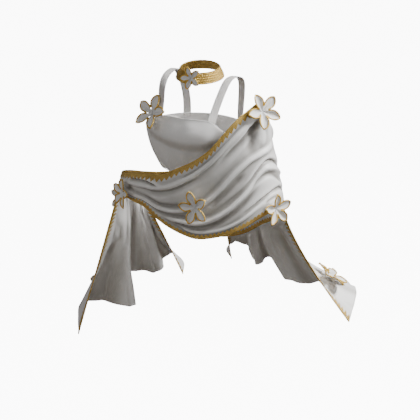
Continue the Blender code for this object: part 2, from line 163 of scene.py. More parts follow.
# flowers: the cloth each one sits on, the place there (angle and share of the height,
# angle and height on the bodice, or the two shares on a tail), the way it faces, its
# turn in its own plane, its petals' length and its stand-off
FLOWERS = [
    ("flower_neck", "choker", 274.6, .470, (-.08, -.97, .25), 43, .0288, .0045),
    ("flower_chest", "bodice", 228.7, -.0958, (-.30, -.78, .55), 14, .0470, .0085),
    ("flower_shoulder", "sash", 353.5, .087, (.77, -.52, .36), 41, .0469, .0065),
    ("flower_waist", "sash", 285.1, .582, (-.14, -.99, .00), 36, .0437, .0070),
    ("flower_hip_left", "sash", 347.5, .980, (.90, -.44, .01), 22, .0417, .0065),
    ("flower_hip_right", "sash", 224.0, .860, (-.60, -.80, .07), 12, .0391, .0080),
    ("flower_hip_rear", "tail_right", .358, .078, (-.80, .60, -.05), 36, .0360, .0118),
    ("flower_tail_left", "tail_left", .110, .820, (.51, .29, .81), 69, .0460, .0085),
    ("flower_tail_right", "tail_right", .182, .825, (-.86, .46, .22), 8, .0430, .0090)]
# one petal's outline: share of its fifth of the turn, how far out, how much its edge curls up
PETAL = [(0.00, .24, .00), (0.24, .74, .05), (0.50, 1.00, .00), (0.76, .74, .05)]
PETAL_RISE, PETAL_LEAN_COS = 0.268, 0.966

# ---------------------------------------------------------------- curves


def curve(x, y, q, period=None):
    """Smooth curve through the rows (x, y), read at q."""
    x = np.asarray(x, float)
    y = np.asarray(y, float)
    flat = y.ndim == 1
    if flat:
        y = y[:, None]
    if period:
        xe = np.concatenate([[x[-1] - period], x, [x[0] + period]])
        ye = np.vstack([y[-1], y, y[0]])
    else:
        xe = np.concatenate([[2 * x[0] - x[1]], x, [2 * x[-1] - x[-2]]])
        ye = np.vstack([2 * y[0] - y[1], y, 2 * y[-1] - y[-2]])
    step = np.diff(xe)[:, None]
    rate = np.diff(ye, axis=0) / step
    slope = (rate[:-1] * step[1:] + rate[1:] * step[:-1]) / (step[:-1] + step[1:])
    q = np.asarray(q, float)
    shape = q.shape
    q = q.ravel()
    if period:
        q = (q - x[0]) % period + x[0]
        x = np.concatenate([x, [x[0] + period]])
        y = np.vstack([y, y[:1]])
        slope = np.vstack([slope, slope[:1]])
    else:
        q = np.clip(q, x[0], x[-1])
    i = np.clip(np.searchsorted(x, q, side="right") - 1, 0, len(x) - 2)
    h = (x[i + 1] - x[i])[:, None]
    t = (q - x[i])[:, None] / h
    out = ((2 * t**3 - 3 * t**2 + 1) * y[i] + (t**3 - 2 * t**2 + t) * h * slope[i]
           + (3 * t**2 - 2 * t**3) * y[i + 1] + (t**3 - t**2) * h * slope[i + 1])
    out = out.reshape(shape + (y.shape[1],))
    return out[..., 0] if flat else out


def bump(u):
    """Round hump, 1 in the middle and 0 beyond -1 and 1."""
    u = np.clip(np.abs(u), 0, 1)
    return (1 - u * u) ** 2


def outward(a, wide, deep):
    n = np.stack([np.cos(a) / wide, np.sin(a) / deep, 0 * a], -1)
    return n / np.linalg.norm(n, axis=-1, keepdims=True)


# ---------------------------------------------------------------- surfaces


def bodice_point(deg, z):
    a = np.radians(deg)
    s = curve(-BODICE[:, 0], BODICE[:, 1:], -z)
    deep = np.where(np.sin(a) < 0, s[..., 1], s[..., 2])
    p = np.stack([s[..., 0] * np.cos(a), deep * np.sin(a), z], -1)
    d = np.asarray(deg, float) % 360
    fold = curve(BUST_FOLD[:, 0], BUST_FOLD[:, 1], np.clip(d, 200, 340))
    side = np.clip(np.minimum(d - 195, 345 - d) / 25, 0, 1)
    push = BUST_FOLD_D * bump((z - fold) / BUST_FOLD_W) * side
    return p - outward(a, s[..., 0], deep) * push[..., None]


def bodice_top(deg):
    return curve(BODICE_TOP[:, 0], BODICE_TOP[:, 1], deg, period=360)


def sash_edges(deg):
    return (curve(SASH_TOP[:, 0], SASH_TOP[:, 1], deg, period=360),
            curve(SASH_LOW[:, 0], SASH_LOW[:, 1], deg, period=360))


def sash_fold(deg, t):
    """How far the folds stand out at an angle and a share of the height."""
    out = np.zeros(np.broadcast(deg, t).shape)
    for _, a0, t0, a1, t1, a2, t2, half, high in SASH_FOLDS:
        for turn in (0, 360, -360):
            d = deg + turn
            line = curve([a0, a1, a2], [t0, t1, t2], np.clip(d, a0, a2))
            ends = np.clip(np.minimum(d - a0, a2 - d) / 14.0, 0, 1)
            ends = ends * ends * (3 - 2 * ends)
            out += high * ends * bump((t - line) / (half * 1.8))
    top, low = sash_edges(deg)
    room = np.minimum(t * (top - low) - TOP_TRIM_W, (1 - t) * (top - low) - LOW_TRIM_W)
    flat = np.clip(room / FOLD_START, 0, 1)          # the folds die out at the braids
    return out * flat * flat * (3 - 2 * flat)


def sash_point(deg, t, out=0.0):
    """Point of the sash at an angle and a share of its height, moved out."""
    deg, t = np.broadcast_arrays(np.asarray(deg, float), np.asarray(t, float))
    a = np.radians(deg)
    top, low = sash_edges(deg)
    z = top + (low - top) * t
    s = curve(-SASH[:, 0], SASH[:, 1:], -z)
    wide = np.where(np.cos(a) > 0, s[..., 0], s[..., 1])
    deep = np.where(np.sin(a) < 0, s[..., 2], s[..., 3])
    p = np.stack([wide * np.cos(a), deep * np.sin(a), z], -1)
    return p + outward(a, wide, deep) * (sash_fold(deg, t) + out)[..., None]


def tail_point(hem, top, s, t):
    """Point of a tail: s runs along its lower edge, t down from the sash."""
    s, t = np.broadcast_arrays(np.asarray(s, float), np.asarray(t, float))
    low = curve(hem[:, 0], hem[:, 1:], s)
    lead = curve(top[:, 0], top[:, 1:], s)
    high = sash_point(lead[..., 0], 1.0)
    high[..., 2] -= TAIL_SEAM
    spread = (t ** lead[..., 1])[..., None]
    p = high + (low - high) * spread
    p[..., 2] = high[..., 2] + (low[..., 2] - high[..., 2]) * t
    return p


def choker_point(deg, t):
    a = np.radians(deg)
    r = CHOKER_TOP_R + (CHOKER_LOW_R - CHOKER_TOP_R) * t
    x, y = r * np.cos(a), r * np.sin(a)
    z = CHOKER_Z + CHOKER_H * (0.5 - t) + y * math.tan(math.radians(CHOKER_TILT))
    return np.stack([x, y, z], -1)


# ---------------------------------------------------------------- fine cloth
SKIN = 0.0009             # cloth as seen
# folds of the sash: how far they stand out (m), half widths above and
# below the line (m), and the line as angle and share of the height
FOLDS = [
    ("swag_1", .0080, .013, .009, [(198, .27), (213, .34), (226, .385), (239.5, .40), (249, .365), (256, .30), (268, .25), (281, .178), (291, .148), (304, .132), (319, .125), (334, .12), (348, .12)]),
    ("swag_1_top", -.0045, .006, .006, [(270, .180), (283, .130), (292.5, .106), (304.5, .098), (317, .088), (332, .085)]),
    ("swag_1_under", -.0055, .007, .016, [(204, .45), (219, .52), (235, .525), (247, .48), (255, .395), (268, .33), (277, .262), (286, .232), (294, .208)]),
    ("fork", .0060, .008, .006, [(204, .10), (222, .125), (236, .150), (244, .190), (253, .228), (262, .262)]),
    ("pocket", -.0070, .006, .007, [(222, .245), (234, .262), (243.5, .278), (251, .285), (257, .275)]),
    ("swag_2", .0075, .009, .007, [(203, .72), (222, .78), (232, .792), (240, .788), (251.5, .748), (259.5, .720), (266.5, .697), (276, .648), (285, .595)]),
    ("swag_2_top", -.0055, .012, .006, [(206, .58), (227, .675), (240, .700), (254, .665), (262, .636), (273.5, .585), (282, .54)]),
    ("swag_2_low", -.0050, .006, .009, [(216, .885), (226, .905), (238, .895), (250, .850), (262, .795), (274, .742), (285, .700)]),
    ("swag_2b", .0085, .015, .010, [(286, .59), (291, .558), (300, .502), (311.5, .448), (325, .430), (340, .438), (352, .435), (364, .405), (378, .385)]),
    ("swag_2b_under", -.0045, .009, .013, [(292, .625), (302, .585), (313, .530), (323, .505)]),
    ("swag_3", .0095, .013, .009, [(260, .842), (272, .812), (279, .806), (287, .797), (296, .785), (306, .752), (314, .712), (323, .670), (331, .632), (341, .602), (352, .588)]),
    ("swag_3_under", -.0065, .007, .012, [(266, .885), (279, .862), (290, .855), (300, .842), (309, .812), (317, .775), (326, .735), (337, .700)]),
    ("swag_4", .0050, .006, .007, [(264, .865), (273, .882), (279, .903), (286, .915), (294, .926), (302, .929), (311, .922), (321, .902), (332, .878), (343, .856)]),
    ("shoulder_crease", -.0085, .008, .018, [(350, .138), (344, .150), (336, .168), (328.5, .188), (321, .206), (312, .218), (303, .240), (295, .280)]),
    ("hollow", -.0070, .021, .021, [(338, .150), (336, .200), (334, .270), (330, .335), (324, .375)]),
    ("bulge", .0045, .017, .017, [(354, .12), (352, .20), (348, .31), (342, .39)]),
    ("side_crease_1", -.0090, .005, .012, [(382, .575), (372, .562), (364, .552), (352, .535), (341, .545), (333, .575), (327, .605), (317, .645)]),
    ("side_crease_2", -.0055, .014, .012, [(378, .735), (364, .712), (352, .668), (342, .650), (330, .648), (316, .668), (304, .695), (293, .715)]),
    ("side_ridge", .0055, .012, .009, [(378, .650), (362, .632), (348, .602), (338, .597)]),
    ("side_crease_3", -.0080, .005, .012, [(382, .780), (370, .790), (358, .808), (348.5, .822), (339, .836), (328, .851), (315, .862)]),
    ("side_crease_4", -.0045, .005, .008, [(356, .875), (345, .886), (337, .900)]),
    ("back_1", .0085, .014, .010, [(1, .19), (18, .225), (40, .255), (64, .245), (90, .262), (120, .305), (148, .335), (172, .345), (192, .330)]),
    ("back_1_under", -.0065, .008, .014, [(8, .300), (30, .338), (60, .330), (92, .352), (125, .405), (152, .445), (172, .455)]),
    ("back_2", .0080, .013, .011, [(12, .455), (35, .498), (62, .520), (95, .532), (128, .565), (153, .602), (178, .625)]),
    ("back_2_fork", .0055, .009, .009, [(66, .395), (90, .440), (114, .508), (128, .545)]),
    ("back_2_under", -.0055, .008, .012, [(30, .585), (58, .612), (92, .630), (122, .655), (146, .690)]),
    ("back_3", .0090, .014, .009, [(14, .700), (38, .738), (70, .772), (100, .778), (130, .802), (160, .795), (188, .760)]),
    ("back_3_under", -.0065, .007, .012, [(20, .790), (48, .832), (80, .862), (108, .862), (136, .872), (160, .870)]),
    ("back_crease", -.0080, .007, .016, [(10, .118), (24, .140), (44, .185), (62, .200), (80, .195)]),
    ("back_hollow", -.0045, .021, .021, [(26, .31), (33, .39), (38, .47)]),
    ("back_hem", .0045, .007, .007, [(58, .915), (88, .928), (118, .935), (146, .925)])]


def smooth(x):
    x = np.clip(x, 0, 1)
    return x * x * (3 - 2 * x)


def sash_base(deg, t, out=0.0):
    """The sash with no folds."""
    deg, t = np.broadcast_arrays(np.asarray(deg, float), np.asarray(t, float))
    a = np.radians(deg)
    top, low = sash_edges(deg)
    z = top + (low - top) * t
    s = curve(-SASH[:, 0], SASH[:, 1:], -z)
    wide = np.where(np.cos(a) > 0, s[..., 0], s[..., 1])
    deep = np.where(np.sin(a) < 0, s[..., 2], s[..., 3])
    p = np.stack([wide * np.cos(a), deep * np.sin(a), z], -1)
    return p + outward(a, wide, deep) * np.asarray(out)[..., None]


def stroke(points, line, above, below):
    """Relief of one fold line: 1 on the line, falling to 0 at its half widths."""
    a, b = line[:-1], line[1:]
    seg = b - a
    size = (seg ** 2).sum(1)
    run = np.concatenate([[0], np.cumsum(np.sqrt(size))])
    t = np.clip(np.einsum("pk,sk->ps", points, seg) - (a * seg).sum(1), 0, size) / size
    near = a[None] + t[..., None] * seg[None]
    gap = points[:, None] - near
    d = np.sqrt((gap ** 2).sum(-1))
    i = d.argmin(1)
    k = np.arange(len(points))
    way = seg[i] / np.sqrt(size[i])[:, None]
    up = np.array([0, 0, 1.0]) - way * way[:, 2:3]
    side = (gap[k, i] * up).sum(1)
    width = np.where(side > 0, above, below)
    x = np.clip(d[k, i] / width, 0, 1)
    along = (run[i] + t[k, i] * np.sqrt(size[i])) / run[-1]
    fade = .28 if max(above, below) < .0175 else .46
    ends = smooth(along / .14) * smooth((1 - along) / fade)
    return (1 - x) ** 2 * (1 + 1.6 * x) * ends


MAP_DEG, MAP_T = np.arange(0, 360, .75), np.linspace(0, 1, 141)


def relief_map():
    """How far the folds stand out, over all angles and the whole height."""
    deg, t = np.meshgrid(MAP_DEG, MAP_T, indexing="ij")
    flat = sash_base(deg, t).reshape(-1, 3)
    out = np.zeros(len(flat))
    for _, high, above, below, rows in FOLDS:
        rows = np.array(rows, float)
        q = np.linspace(0, len(rows) - 1, 46)
        way = curve(np.arange(len(rows)), rows, q)
        line = sash_base(way[:, 0], way[:, 1])
        reach = max(above, below)
        lo, hi = line.min(0) - reach, line.max(0) + reach
        pick = np.where(np.all((flat > lo) & (flat < hi), axis=1))[0]
        out[pick] += high * stroke(flat[pick], line, above, below)
    out = out.reshape(deg.shape)
    out += .0008 * np.sin(np.radians(deg) * 7 + 9 * t) * np.sin(t * 17 + deg * .05)
    top, low = sash_edges(deg)
    room = np.minimum(t * (top - low) - TOP_TRIM_W, (1 - t) * (top - low) - LOW_TRIM_W)
    return out * smooth(room / .013)


RELIEF = relief_map()


def relief(deg, t):
    deg, t = np.broadcast_arrays(np.asarray(deg, float), np.asarray(t, float))
    i = (deg % 360) / .75
    j = np.clip(t, 0, 1) * (len(MAP_T) - 1)
    i0, j0 = np.floor(i).astype(int), np.minimum(np.floor(j).astype(int), len(MAP_T) - 2)
    fi, fj = i - i0, j - j0
    n = len(MAP_DEG)
    a, b = RELIEF[i0 % n, j0], RELIEF[(i0 + 1) % n, j0]
    c, d = RELIEF[i0 % n, j0 + 1], RELIEF[(i0 + 1) % n, j0 + 1]
    return (a * (1 - fi) + b * fi) * (1 - fj) + (c * (1 - fi) + d * fi) * fj


def sash_skin(deg, t, out=0.0):
    return sash_base(deg, t, relief(deg, t) + out)


# ---------------------------------------------------------------- materials


class Nodes:
    """A material's node tree, with short calls for adding and joining nodes."""

    def __init__(self, name):
        self.m = bpy.data.materials.new(name)
        self.m.use_nodes = True
        self.t = self.m.node_tree
        self.b = self.t.nodes["Principled BSDF"]

    def add(self, kind, **settings):
        n = self.t.nodes.new(kind)
        for k, v in settings.items():
            setattr(n, k, v)
        return n

    def join(self, a, b):
        self.t.links.new(a, b)

    def noise(self, coords, scale, detail=3.0, rough=.55):
        n = self.add("ShaderNodeTexNoise")
        n.inputs["Scale"].default_value = scale
        n.inputs["Detail"].default_value = detail
        n.inputs["Roughness"].default_value = rough
        self.join(coords, n.inputs["Vector"])
        return n.outputs["Fac"]

    def wave(self, coords, scale, direction, warp=0.0):
        n = self.add("ShaderNodeTexWave", wave_type="BANDS", bands_direction=direction)
        n.inputs["Scale"].default_value = scale
        n.inputs["Distortion"].default_value = warp
        self.join(coords, n.inputs["Vector"])
        return n.outputs["Fac"]

    def ramp(self, fac, stops):
        n = self.add("ShaderNodeValToRGB")
        e = n.color_ramp.elements
        e[0].position, e[0].color = stops[0][0], (*stops[0][1], 1)
        e[1].position, e[1].color = stops[-1][0], (*stops[-1][1], 1)
        for at, c in stops[1:-1]:
            k = e.new(at)
            k.color = (*c, 1)
        self.join(fac, n.inputs["Fac"])
        return n.outputs["Color"]

    def math(self, op, a, b):
        n = self.add("ShaderNodeMath", operation=op)
        for i, v in enumerate((a, b)):
            if isinstance(v, (int, float)):
                n.inputs[i].default_value = v
            else:
                self.join(v, n.inputs[i])
        return n.outputs[0]

    def mix(self, fac, a, b, blend="MIX"):
        n = self.add("ShaderNodeMix", data_type="RGBA", blend_type=blend)
        if isinstance(fac, (int, float)):
            n.inputs[0].default_value = fac
        else:
            self.join(fac, n.inputs[0])
        for i, v in ((6, a), (7, b)):
            if isinstance(v, tuple):
                n.inputs[i].default_value = (*v, 1)
            else:
                self.join(v, n.inputs[i])
        return n.outputs[2]

    def bump(self, height, strength, distance):
        n = self.add("ShaderNodeBump")
        n.inputs["Strength"].default_value = strength
        n.inputs["Distance"].default_value = distance
        self.join(height, n.inputs["Height"])
        if self.b.inputs["Normal"].is_linked:
            self.join(self.b.inputs["Normal"].links[0].from_socket, n.inputs["Normal"])
        self.join(n.outputs["Normal"], self.b.inputs["Normal"])


def satin(name, light, deep, rough=.40, sheen=.25, threads=1500.0):
    """Satin: smooth warp threads over a fine weft, with painted shade: darker and warmer in the folds."""
    k = Nodes(name)
    uv = k.add("ShaderNodeTexCoord").outputs["UV"]
    place = k.add("ShaderNodeTexCoord").outputs["Object"]
    fold = k.add("ShaderNodeAttribute", attribute_name="fold").outputs["Fac"]
    clouds = k.noise(place, 9, 4)
    slubs = k.noise(place, 70, 3)
    # painted shade: a low 'fold' value paints the deep shade colour, a high one the light colour and a little above it;
    # the clouds add random tone
    tone = k.math("ADD", fold, k.math("MULTIPLY", k.math("SUBTRACT", clouds, .5), .30))
    colour = k.ramp(tone, [(0.0, deep), (.42, tuple(.45 * a + .55 * b for a, b in zip(deep, light))), (.62, light), (1.0, tuple(min(1, v * 1.05) for v in light))])
    k.join(colour, k.b.inputs["Base Color"])
    shine = k.add("ShaderNodeMapRange")
    k.join(slubs, shine.inputs["Value"])
    shine.inputs["To Min"].default_value = rough - .06
    shine.inputs["To Max"].default_value = rough + .07
    k.join(shine.outputs["Result"], k.b.inputs["Roughness"])
    k.b.inputs["Sheen Weight"].default_value = sheen
    k.b.inputs["Sheen Roughness"].default_value = .45
    k.b.inputs["Specular IOR Level"].default_value = .45
    warp = k.wave(uv, threads, "X", .3)
    weft = k.wave(uv, threads * .6, "Y", .3)
    k.bump(k.math("ADD", warp, k.math("MULTIPLY", weft, .5)), .10, .0002)
    k.bump(clouds, .25, .002)
    k.bump(slubs, .10, .0006)
    return k.m


def gold(name, light, deep, pitch=520.0, rough=.36, metal=.75, relief_strength=.55):
    """Gold braid: twisted metallic thread in two crossing directions, painted darker in the gaps as shade."""
    k = Nodes(name)
    uv = k.add("ShaderNodeTexCoord").outputs["UV"]
    place = k.add("ShaderNodeTexCoord").outputs["Object"]
    turned = k.add("ShaderNodeMapping")
    turned.inputs["Rotation"].default_value = (0, 0, math.radians(45))
    k.join(uv, turned.inputs["Vector"])
    one = k.wave(turned.outputs["Vector"], pitch, "X", .8)
    two = k.wave(turned.outputs["Vector"], pitch, "Y", .8)
    knots = k.math("MULTIPLY", one, two)
    wear = k.noise(place, 45, 3)
    # knots paints the gaps between the knots darker, as painted shade; wear adds random tone
    tone = k.math("ADD", k.math("MULTIPLY", knots, .65), k.math("MULTIPLY", wear, .45))
    k.join(k.ramp(tone, [(.10, deep), (.45, tuple((a + b) / 2 for a, b in zip(deep, light))), (.85, light)]), k.b.inputs["Base Color"])
    k.b.inputs["Metallic"].default_value = metal
    shine = k.add("ShaderNodeMapRange")
    k.join(wear, shine.inputs["Value"])
    shine.inputs["To Min"].default_value = rough - .07
    shine.inputs["To Max"].default_value = rough + .10
    k.join(shine.outputs["Result"], k.b.inputs["Roughness"])
    k.bump(knots, relief_strength, .0006)
    return k.m


def ribbed(name):
    """Strap tape: ribs across the tape, fine threads in the relief and a little wear."""
    k = Nodes(name)
    uv = k.add("ShaderNodeTexCoord").outputs["UV"]
    place = k.add("ShaderNodeTexCoord").outputs["Object"]
    ribs = k.wave(uv, 210, "Y", .2)
    threads = k.wave(uv, 900, "X", .4)
    clouds = k.noise(place, 30, 3)
    # ribs paints the troughs between the ribs darker, as painted shade; clouds add random tone
    tone = k.math("ADD", k.math("MULTIPLY", ribs, .55), k.math("MULTIPLY", clouds, .45))
    k.join(k.ramp(tone, [(.08, (.50, .48, .46)), (.5, (.70, .68, .66)), (.9, (.84, .83, .81))]), k.b.inputs["Base Color"])
    k.b.inputs["Roughness"].default_value = .62
    k.b.inputs["Sheen Weight"].default_value = .2
    k.bump(k.math("ADD", ribs, k.math("MULTIPLY", threads, .3)), .6, .0005)
    return k.m


# each satin's second colour is its painted shade colour (SHADE for the sash), its first the lit colour
WHITE, SHADE = (.86, .85, .83), (.29, .275, .255)
MATS = {
    "sash": satin("sash_satin", WHITE, SHADE),
    "tail": satin("tail_satin", (.84, .83, .81), (.44, .41, .37)),
    "bodice": satin("bodice_satin", (.87, .86, .85), (.52, .49, .45), rough=.44),
    "petal": satin("petal_satin", (.88, .88, .87), (.38, .37, .38), rough=.42, threads=1900.0),
    "braid": gold("edge_braid", (.90, .63, .20), (.46, .29, .065), metal=.55),
    "rim": gold("petal_rim", (.95, .66, .18), (.66, .42, .09), pitch=800.0, rough=.38, metal=.30),
    "choker": gold("choker_braid", (.76, .50, .12), (.24, .15, .035), pitch=900.0, rough=.36, metal=.55, relief_strength=.3),
    "rib": ribbed("strap_tape")}

# ---------------------------------------------------------------- meshes


def make(name, verts, faces, mat, uv=None, fold=None, thick=0.0, offset=0.0):
    mesh = bpy.data.meshes.new(name)
    mesh.from_pydata(np.asarray(verts, float).tolist(), [], np.asarray(faces, int).tolist() if not isinstance(faces, list) else faces)
    mesh.shade_smooth()
    mesh.materials.append(MATS[mat])
    if uv is not None:
        layer = mesh.uv_layers.new(name="cloth")
        loops = np.zeros(len(mesh.loops), np.int32)
        mesh.loops.foreach_get("vertex_index", loops)
        layer.data.foreach_set("uv", np.asarray(uv, np.float32)[loops].ravel())
    # the 'fold' attribute carries painted shade into the satins: low values are shaded, high values lit
    if fold is not None:
        at = mesh.attributes.new("fold", "FLOAT", "POINT")
        at.data.foreach_set("value", np.asarray(fold, np.float32).ravel())
    ob = bpy.data.objects.new(name, mesh)
    bpy.context.scene.collection.objects.link(ob)
    if thick:
        s = ob.modifiers.new("thickness", "SOLIDIFY")
        s.thickness = thick
        s.offset = offset
        s.use_even_offset = False
    return ob


def net(rows, cols, ring=False, wrap_rows=False):
    i, j = np.meshgrid(np.arange(rows if wrap_rows else rows - 1), np.arange(cols if ring else cols - 1), indexing="ij")
    k, m = (j + 1) % cols, (i + 1) % rows
    return np.stack([i * cols + j, m * cols + j, m * cols + k, i * cols + k], -1).reshape(-1, 4)


def lengths(grid):
    """Distance along each row and down each column, for the weave."""
    u = np.concatenate([np.zeros(grid.shape[:1] + (1,)), np.cumsum(np.linalg.norm(np.diff(grid, axis=1), axis=-1), axis=1)], 1)
    v = np.concatenate([np.zeros((1,) + grid.shape[1:2]), np.cumsum(np.linalg.norm(np.diff(grid, axis=0), axis=-1), axis=0)], 0)
    return np.stack([u, v], -1)


def blur(a, n, ring):
    for _ in range(n):
        p = np.pad(a, ((1, 1), (0, 0)), mode="edge")
        a = (p[:-2] + 2 * p[1:-1] + p[2:]) / 4
        p = np.pad(a, ((0, 0), (1, 1)), mode="wrap" if ring else "edge")
        a = (p[:, :-2] + 2 * p[:, 1:-1] + p[:, 2:]) / 4
    return a


def grid_sheet(name, grid, mat, ring=False, fold=None, thick=SKIN):
    rows, cols = grid.shape[:2]
    fold = np.full(rows * cols, .7) if fold is None else fold
    return make(name, grid.reshape(-1, 3), net(rows, cols, ring), mat, lengths(grid).reshape(-1, 2), fold, thick)


def tube(path, radius, sides=6, closed=False):
    """Points and faces of a round cord along a path."""
    path = np.asarray(path, float)
    n = len(path)
    way = np.roll(path, -1, 0) - np.roll(path, 1, 0) if closed else np.gradient(path, axis=0)
    way /= np.linalg.norm(way, axis=1, keepdims=True) + 1e-12
    ref = np.array([0.0, 0, 1])
    side = np.cross(way, ref)
    bad = np.linalg.norm(side, axis=1) < .15
    side[bad] = np.cross(way[bad], [1.0, .3, 0])
    side /= np.linalg.norm(side, axis=1, keepdims=True)
    for i in range(1, n):
        if side[i] @ side[i - 1] < 0:
            side[i] = -side[i]
    up = np.cross(side, way)
    a = np.arange(sides) * 2 * math.pi / sides
    pts = path[:, None] + radius * (np.cos(a)[None, :, None] * side[:, None] + np.sin(a)[None, :, None] * up[:, None])
    faces = net(n, sides, ring=True, wrap_rows=closed).tolist()
    if not closed:
        faces += [list(range(sides)), list(range((n - 1) * sides, n * sides))[::-1]]
    run = np.concatenate([[0], np.cumsum(np.linalg.norm(np.diff(path, axis=0), axis=1))])
    uv = np.stack([np.repeat(run, sides), np.tile(a * radius, n)], -1)
    return pts.reshape(-1, 3), faces, uv


def gather(parts):
    """Joins several (points, faces, uv) into one."""
    pts, faces, uv, n = [], [], [], 0
    for p, f, w in parts:
        pts.append(p)
        uv.append(w)
        faces += [[i + n for i in face] for face in (f.tolist() if isinstance(f, np.ndarray) else f)]
        n += len(p)
    return np.vstack(pts), faces, np.vstack(uv)


def own(ob, slot, *nodes):
    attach(ob, "root")
    if nodes:
        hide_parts(*nodes)
    return ob


# ---------------------------------------------------------------- sash


def build_sash():
    deg = np.linspace(0, 360, 440, endpoint=False)[None, :]
    top, low = sash_edges(deg)
    t = np.linspace(0, 1, 92)[:, None]
    grid = sash_skin(deg + 0 * t, t + 0 * deg)
    r = relief(deg + 0 * t, t + 0 * deg)
    # fine and wide split the relief into small and broad folds, for painted shade in their valleys and painted
    # highlight on their ridges
    fine = r - blur(r, 8, True)
    wide = blur(r, 6, True) - blur(r, 60, True)
    # painted shade: a broad darkening over the sash's lower front and a hollow near the shoulder
    low = .38 * smooth((t - .18) / .4) * bump((deg - 290) / 66) + .30 * bump((deg - 333) / 16) * bump((t - .25) / .22)
    fold = .54 - low + np.clip(fine * 230, -.38, .42) + np.clip(wide * 55, -.30, .28)
    ob = grid_sheet("sash_cloth", grid, "sash", ring=True, fold=np.clip(fold, 0, 1).ravel())
    return own(ob, "satin", "sash_front", "sash_back")


def tooth(x, round_=.75):
    """Height of a pointed edge at a place along it: 0 between two points, 1 at a point."""
    x = x % 1.0
    return (1 - np.abs(2 * x - 1)) ** round_


def build_sash_braids():
    done = []
    deg0 = np.linspace(0, 360, 4001)
    for name, nodes, band, point, count, per, edge in (
            ("sash_top_braid", ("sash_top_trim_front", "sash_top_trim_back"), TOP_TRIM_W, .0098, 78, 12, 0),
            ("sash_low_braid", ("sash_low_trim_front", "sash_low_trim_back"), LOW_TRIM_W, .0056, 118, 8, 1)):
        line = sash_skin(deg0, edge + 0 * deg0)
        run = np.concatenate([[0], np.cumsum(np.linalg.norm(np.diff(line, axis=0), axis=1))])
        n = count * per
        x = np.arange(n) / per
        deg = np.interp(x / count * run[-1], run, deg0)[None, :]
        top, low = sash_edges(deg)
        high = top - low
        slim = 1 - .66 * smooth((240 - deg) / 14) * smooth((deg - 180) / 12) * edge - .22 * smooth((232 - deg) / 20) * smooth((deg - 180) / 12) * (1 - edge)
        band = band * slim
        reach = band + point * slim * tooth(x)[None, :]
        v = np.linspace(0, 1, 11)[:, None]
        down = np.where(v <= .55, v / .55 * band, band + (v - .55) / .45 * (reach - band))
        band = band + 0 * v
        t = down / high if edge == 0 else 1 - down / high
        crown = .0005 * np.exp(-((down - .0012) / .0010) ** 2) + .0004 * np.exp(-((down - band) / .0010) ** 2)
        leaf = .0006 * (1 - v) * (v > .55)
        parts = []
        for side in (1, -1):
            out = side * (.0011 + crown + leaf)
            g = sash_skin(deg + 0 * v, t, out)
            back = sash_skin(deg + 0 * v, t, side * .0004)
            f = net(11, n, ring=True)
            parts.append((g.reshape(-1, 3), f if side > 0 else f[:, ::-1], np.stack([np.broadcast_to(x / count * run[-1], down.shape), down], -1).reshape(-1, 2)))
            # the pointed edge is turned down to the cloth
            rim = np.vstack([g[-1], back[-1]])
            f = net(2, n, ring=True)
            parts.append((rim, f if side > 0 else f[:, ::-1], np.zeros((2 * n, 2)) + np.stack([np.tile(x / count * run[-1], 2), np.repeat([0, .0007], n)], -1)))
        deg_c = np.linspace(0, 360, 900, endpoint=False)
        parts.append(tube(sash_skin(deg_c, edge + 0 * deg_c), .0015, 7, closed=True))
        pts, faces, uv = gather(parts)
        ob = make(name, pts, faces, "braid", uv)
        own(ob, "gold_braid", *nodes)
        done.append(ob)
    return done


# ---------------------------------------------------------------- tails
# soft folds of the tails: name, how far they stand out (m), half width as
# a share of the lower edge, and the line as share of the way down and along the lower edge
TAIL_FOLDS = {
    "tail_right": [
        ("edge_rise", .0030, .045, [(.05, .075), (.30, .080), (.55, .062), (.75, .050)]),
        ("diagonal", -.0085, .055, [(.28, .262), (.42, .240), (.55, .165), (.68, .122), (.80, .104), (1.0, .092)]),
        ("panel", .0040, .045, [(.30, .190), (.55, .225), (.80, .215), (1.0, .205)]),
        ("ridge_a", .0080, .030, [(0, .405), (.24, .408), (.39, .350), (.52, .314), (.66, .311), (.85, .318), (1.0, .318)]),
        ("beside_a", -.0050, .026, [(.05, .470), (.30, .455), (.55, .400), (.80, .380), (1.0, .375)]),
        ("middle", .0050, .032, [(.15, .520), (.45, .470), (.75, .450), (1.0, .440)]),
        ("valley_a", -.0085, .030, [(0, .590), (.34, .548), (.62, .530), (.83, .520), (1.0, .508)]),
        ("line_b", -.0060, .018, [(.06, .642), (.36, .636), (.59, .626), (.80, .630), (1.0, .638)]),
        ("ridge_b", .0100, .030, [(0, .790), (.20, .755), (.41, .712), (.65, .680), (.84, .668), (1.0, .666)]),
        ("valley_b", -.0095, .034, [(.05, .890), (.34, .835), (.60, .765), (.80, .728), (1.0, .722)]),
        ("back_rise", .0050, .034, [(.30, .920), (.60, .850), (.80, .830), (1.0, .825)])],
    "tail_left": [
        ("flap_ridge", .0050, .034, [(.40, .070), (.62, .085), (.80, .105), (1.0, .115)]),
        ("flap_valley", -.0030, .030, [(.55, .040), (.80, .050), (1.0, .050)]),
        ("flap_back", -.0060, .030, [(.20, .180), (.50, .185), (.80, .180), (1.0, .180)]),
        ("near_right", -.0055, .040, [(.03, .285), (.40, .245), (.72, .250), (1.0, .255)]),
        ("near_dark", .0085, .052, [(.03, .372), (.50, .338), (.79, .335), (1.0, .335)]),
        ("near_light", -.0070, .034, [(.03, .462), (.48, .455), (.77, .440), (1.0, .432)]),
        ("second_dark", .0080, .030, [(.03, .600), (.50, .600), (.87, .594), (1.0, .590)]),
        ("second_light", -.0070, .032, [(.05, .735), (.50, .700), (.86, .660), (1.0, .655)]),
        ("arch_dark", .0045, .026, [(.10, .800), (.60, .790), (1.0, .780)]),
        ("back_light", -.0040, .024, [(.10, .880), (.60, .875), (1.0, .870)])]}


